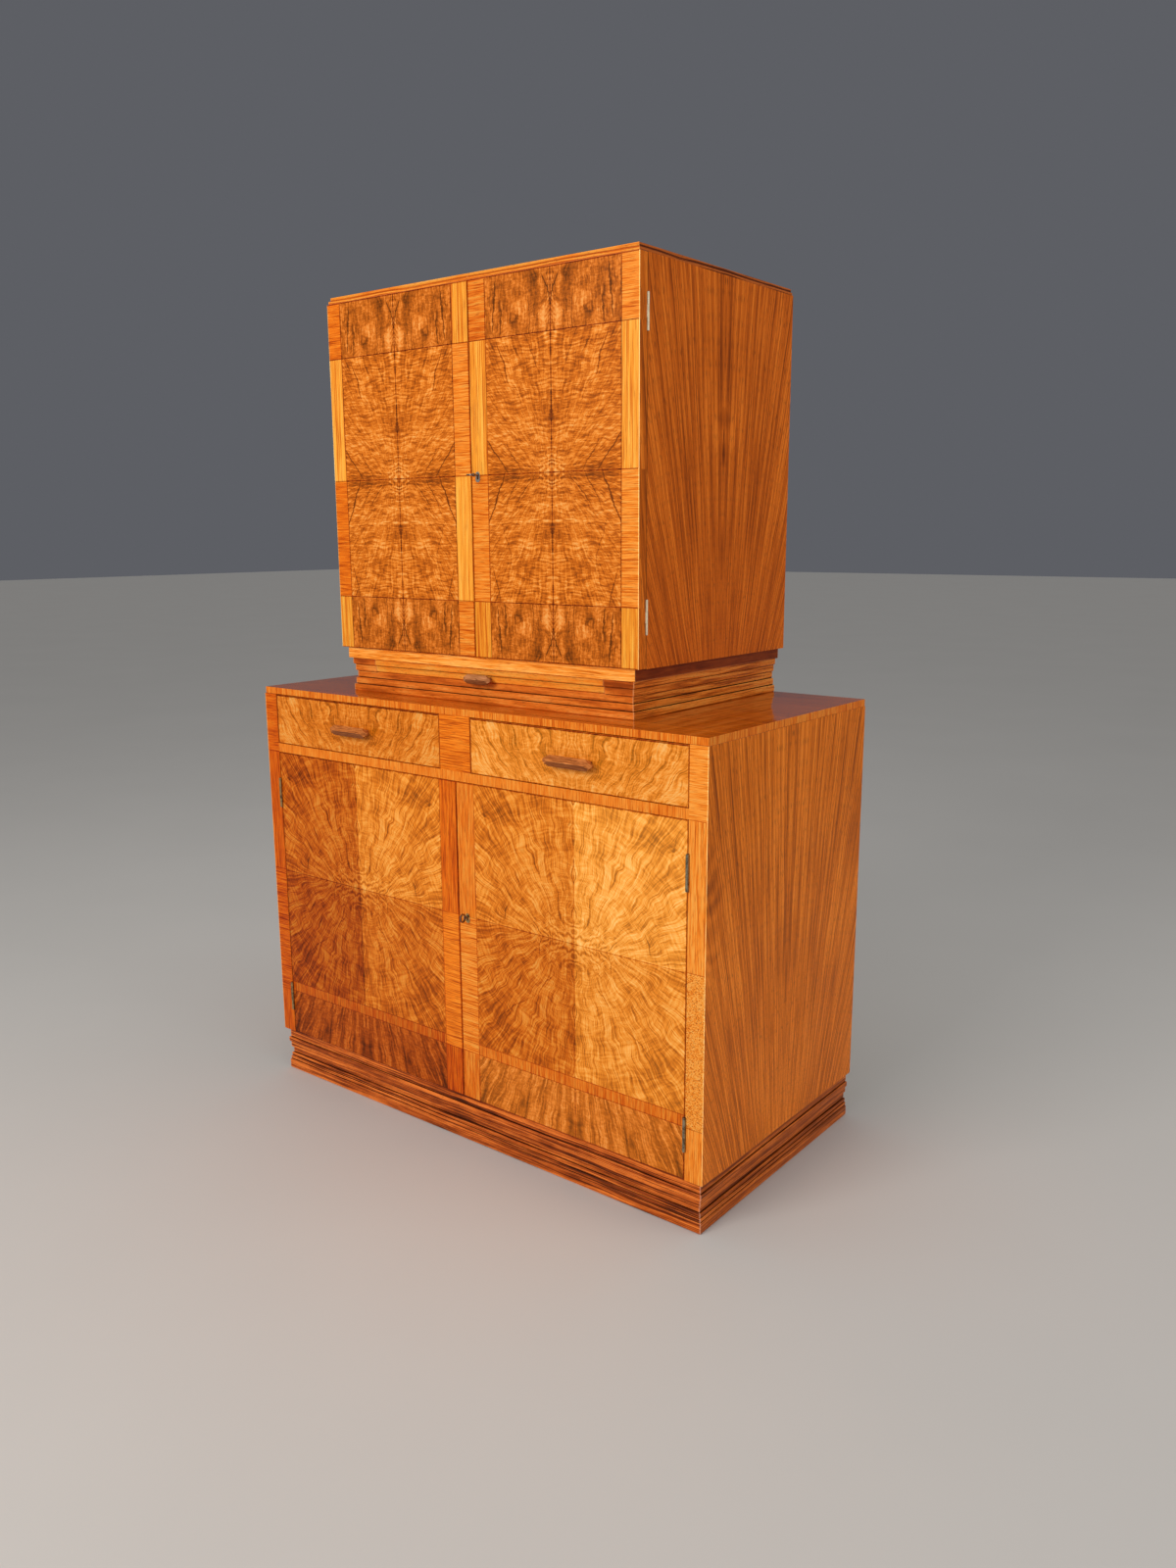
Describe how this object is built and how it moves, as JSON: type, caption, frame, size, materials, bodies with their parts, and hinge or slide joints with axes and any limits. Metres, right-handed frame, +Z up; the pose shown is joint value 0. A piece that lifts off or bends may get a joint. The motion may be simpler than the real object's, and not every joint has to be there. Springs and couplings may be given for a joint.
{
  "type": "bar cabinet",
  "caption": "Free-standing walnut bar cabinet: a small double-door cabinet on a wide cupboard with drawers, a pull-out slide and reeded plinth and base mouldings.",
  "frame": {"origin": "on the floor, in the middle of the space that the whole cabinet fills, keys and handles included", "axes": "+Z up, +Y to the back, so the doors face -Y, +X to the right of someone facing the doors"},
  "size_m": [1.067, 0.557, 1.567],
  "materials": {
    "walnut_moulding": "polished reddish-brown walnut",
    "light_walnut": "polished light walnut, cross-grained",
    "walnut_veneer": "polished walnut veneer",
    "figured_walnut": "polished figured walnut veneer",
    "inner_wood": "plain planed wood",
    "plywood": "plain plywood",
    "handle_wood": "polished carved wood",
    "hinge_brass": "worn brass",
    "lock_brass": "worn brass",
    "key_steel": "nickel-plated, worn"
  },
  "bodies": {
    "carcase": {"base_front": "walnut_moulding", "base_left": "walnut_moulding", "base_right": "walnut_moulding", "base_back": "walnut_moulding", "lower_left_side": "walnut_veneer", "lower_right_side": "walnut_veneer", "lower_left_stile": "walnut_veneer", "lower_right_stile": "walnut_veneer", "lower_bottom": "inner_wood", "lower_top": "walnut_veneer", "lower_back": "plywood", "drawer_rail": "light_walnut", "drawer_stile": "light_walnut", "drawer_runners": "inner_wood", "lower_shelf": "inner_wood", "shelf_battens": "inner_wood", "upper_left_side": "walnut_veneer", "upper_right_side": "walnut_veneer", "upper_bottom": "inner_wood", "upper_top": "inner_wood", "upper_back": "plywood", "upper_shelf": "inner_wood", "upper_shelf_battens": "inner_wood", "cornice": "walnut_moulding", "frieze_front": "light_walnut", "frieze_left": "walnut_moulding", "frieze_right": "walnut_moulding", "plinth_front": "walnut_moulding", "plinth_left": "walnut_moulding", "plinth_right": "walnut_moulding", "plinth_back": "walnut_moulding", "slide_runners": "inner_wood", "hinge_frame_leaves": "hinge_brass"},
    "left_drawer": {"left_drawer_front": "figured_walnut", "left_drawer_box": "inner_wood", "left_drawer_bottom": "plywood", "left_drawer_handle": "handle_wood"},
    "right_drawer": {"right_drawer_front": "figured_walnut", "right_drawer_box": "inner_wood", "right_drawer_bottom": "plywood", "right_drawer_handle": "handle_wood"},
    "slide": {"slide_front": "light_walnut", "slide_board": "inner_wood", "slide_handle": "handle_wood"},
    "lower_left_door": {"lower_left_door": "figured_walnut", "lower_left_hinge_leaves": "hinge_brass"},
    "lower_right_door": {"lower_right_door": "figured_walnut", "lower_right_hinge_leaves": "hinge_brass", "lower_lock": "lock_brass"},
    "upper_left_door": {"upper_left_door": "figured_walnut", "upper_left_hinge_leaves": "hinge_brass"},
    "upper_right_door": {"upper_right_door": "figured_walnut", "upper_right_hinge_leaves": "hinge_brass", "upper_lock": "lock_brass"},
    "lower_left_bolt": {"lower_left_bolt": "hinge_brass"},
    "upper_left_bolt": {"upper_left_bolt": "hinge_brass"},
    "lower_lock_bolt": {"lower_lock_bolt": "lock_brass"},
    "upper_lock_bolt": {"upper_lock_bolt": "lock_brass"},
    "lower_key": {"lower_key": "key_steel"},
    "upper_key": {"upper_key": "key_steel"}
  },
  "joints": [
    {"name": "lower_left_door_hinge", "type": "hinge", "parent": "carcase", "child": "lower_left_door", "pos_m": [-0.4983, -0.2605, 0.397], "axis": [0, 0, -1], "range_deg": [0, 175]},
    {"name": "lower_right_door_hinge", "type": "hinge", "parent": "carcase", "child": "lower_right_door", "pos_m": [0.4983, -0.2605, 0.397], "axis": [0, 0, 1], "range_deg": [0, 175]},
    {"name": "upper_left_door_hinge", "type": "hinge", "parent": "carcase", "child": "upper_left_door", "pos_m": [-0.36, -0.1773, 1.2365], "axis": [0, 0, -1], "range_deg": [0, 180]},
    {"name": "upper_right_door_hinge", "type": "hinge", "parent": "carcase", "child": "upper_right_door", "pos_m": [0.36, -0.1773, 1.2365], "axis": [0, 0, 1], "range_deg": [0, 180]},
    {"name": "left_drawer_slide", "type": "slide", "parent": "carcase", "child": "left_drawer", "axis": [0, -1, 0], "range_m": [0, 0.3]},
    {"name": "right_drawer_slide", "type": "slide", "parent": "carcase", "child": "right_drawer", "axis": [0, -1, 0], "range_m": [0, 0.3]},
    {"name": "slide_pull", "type": "slide", "parent": "carcase", "child": "slide", "axis": [0, -1, 0], "range_m": [0, 0.25]},
    {"name": "lower_key_turn", "type": "hinge", "parent": "lower_right_door", "child": "lower_key", "pos_m": [0.022, -0.2585, 0.452], "axis": [0, -1, 0], "range_deg": [0, 90]},
    {"name": "lower_lock_bolt_throw", "type": "slide", "parent": "lower_right_door", "child": "lower_lock_bolt", "axis": [-1, 0, 0], "range_m": [0, 0.008]},
    {"name": "upper_key_turn", "type": "hinge", "parent": "upper_right_door", "child": "upper_key", "pos_m": [0.0156, -0.1985, 1.235], "axis": [0, 1, 0], "range_deg": [0, 90]},
    {"name": "upper_lock_bolt_throw", "type": "slide", "parent": "upper_right_door", "child": "upper_lock_bolt", "axis": [-1, 0, 0], "range_m": [0, 0.008]},
    {"name": "lower_left_bolt_slide", "type": "slide", "parent": "lower_left_door", "child": "lower_left_bolt", "axis": [0, 0, 1], "range_m": [0, 0.006]},
    {"name": "upper_left_bolt_slide", "type": "slide", "parent": "upper_left_door", "child": "upper_left_bolt", "axis": [0, 0, 1], "range_m": [0, 0.006]}
  ],
  "couplings": [
    {"joint": "lower_key_turn", "follows": "lower_lock_bolt_throw", "rad_per_m": 196.33},
    {"joint": "upper_key_turn", "follows": "upper_lock_bolt_throw", "rad_per_m": 196.33}
  ]
}
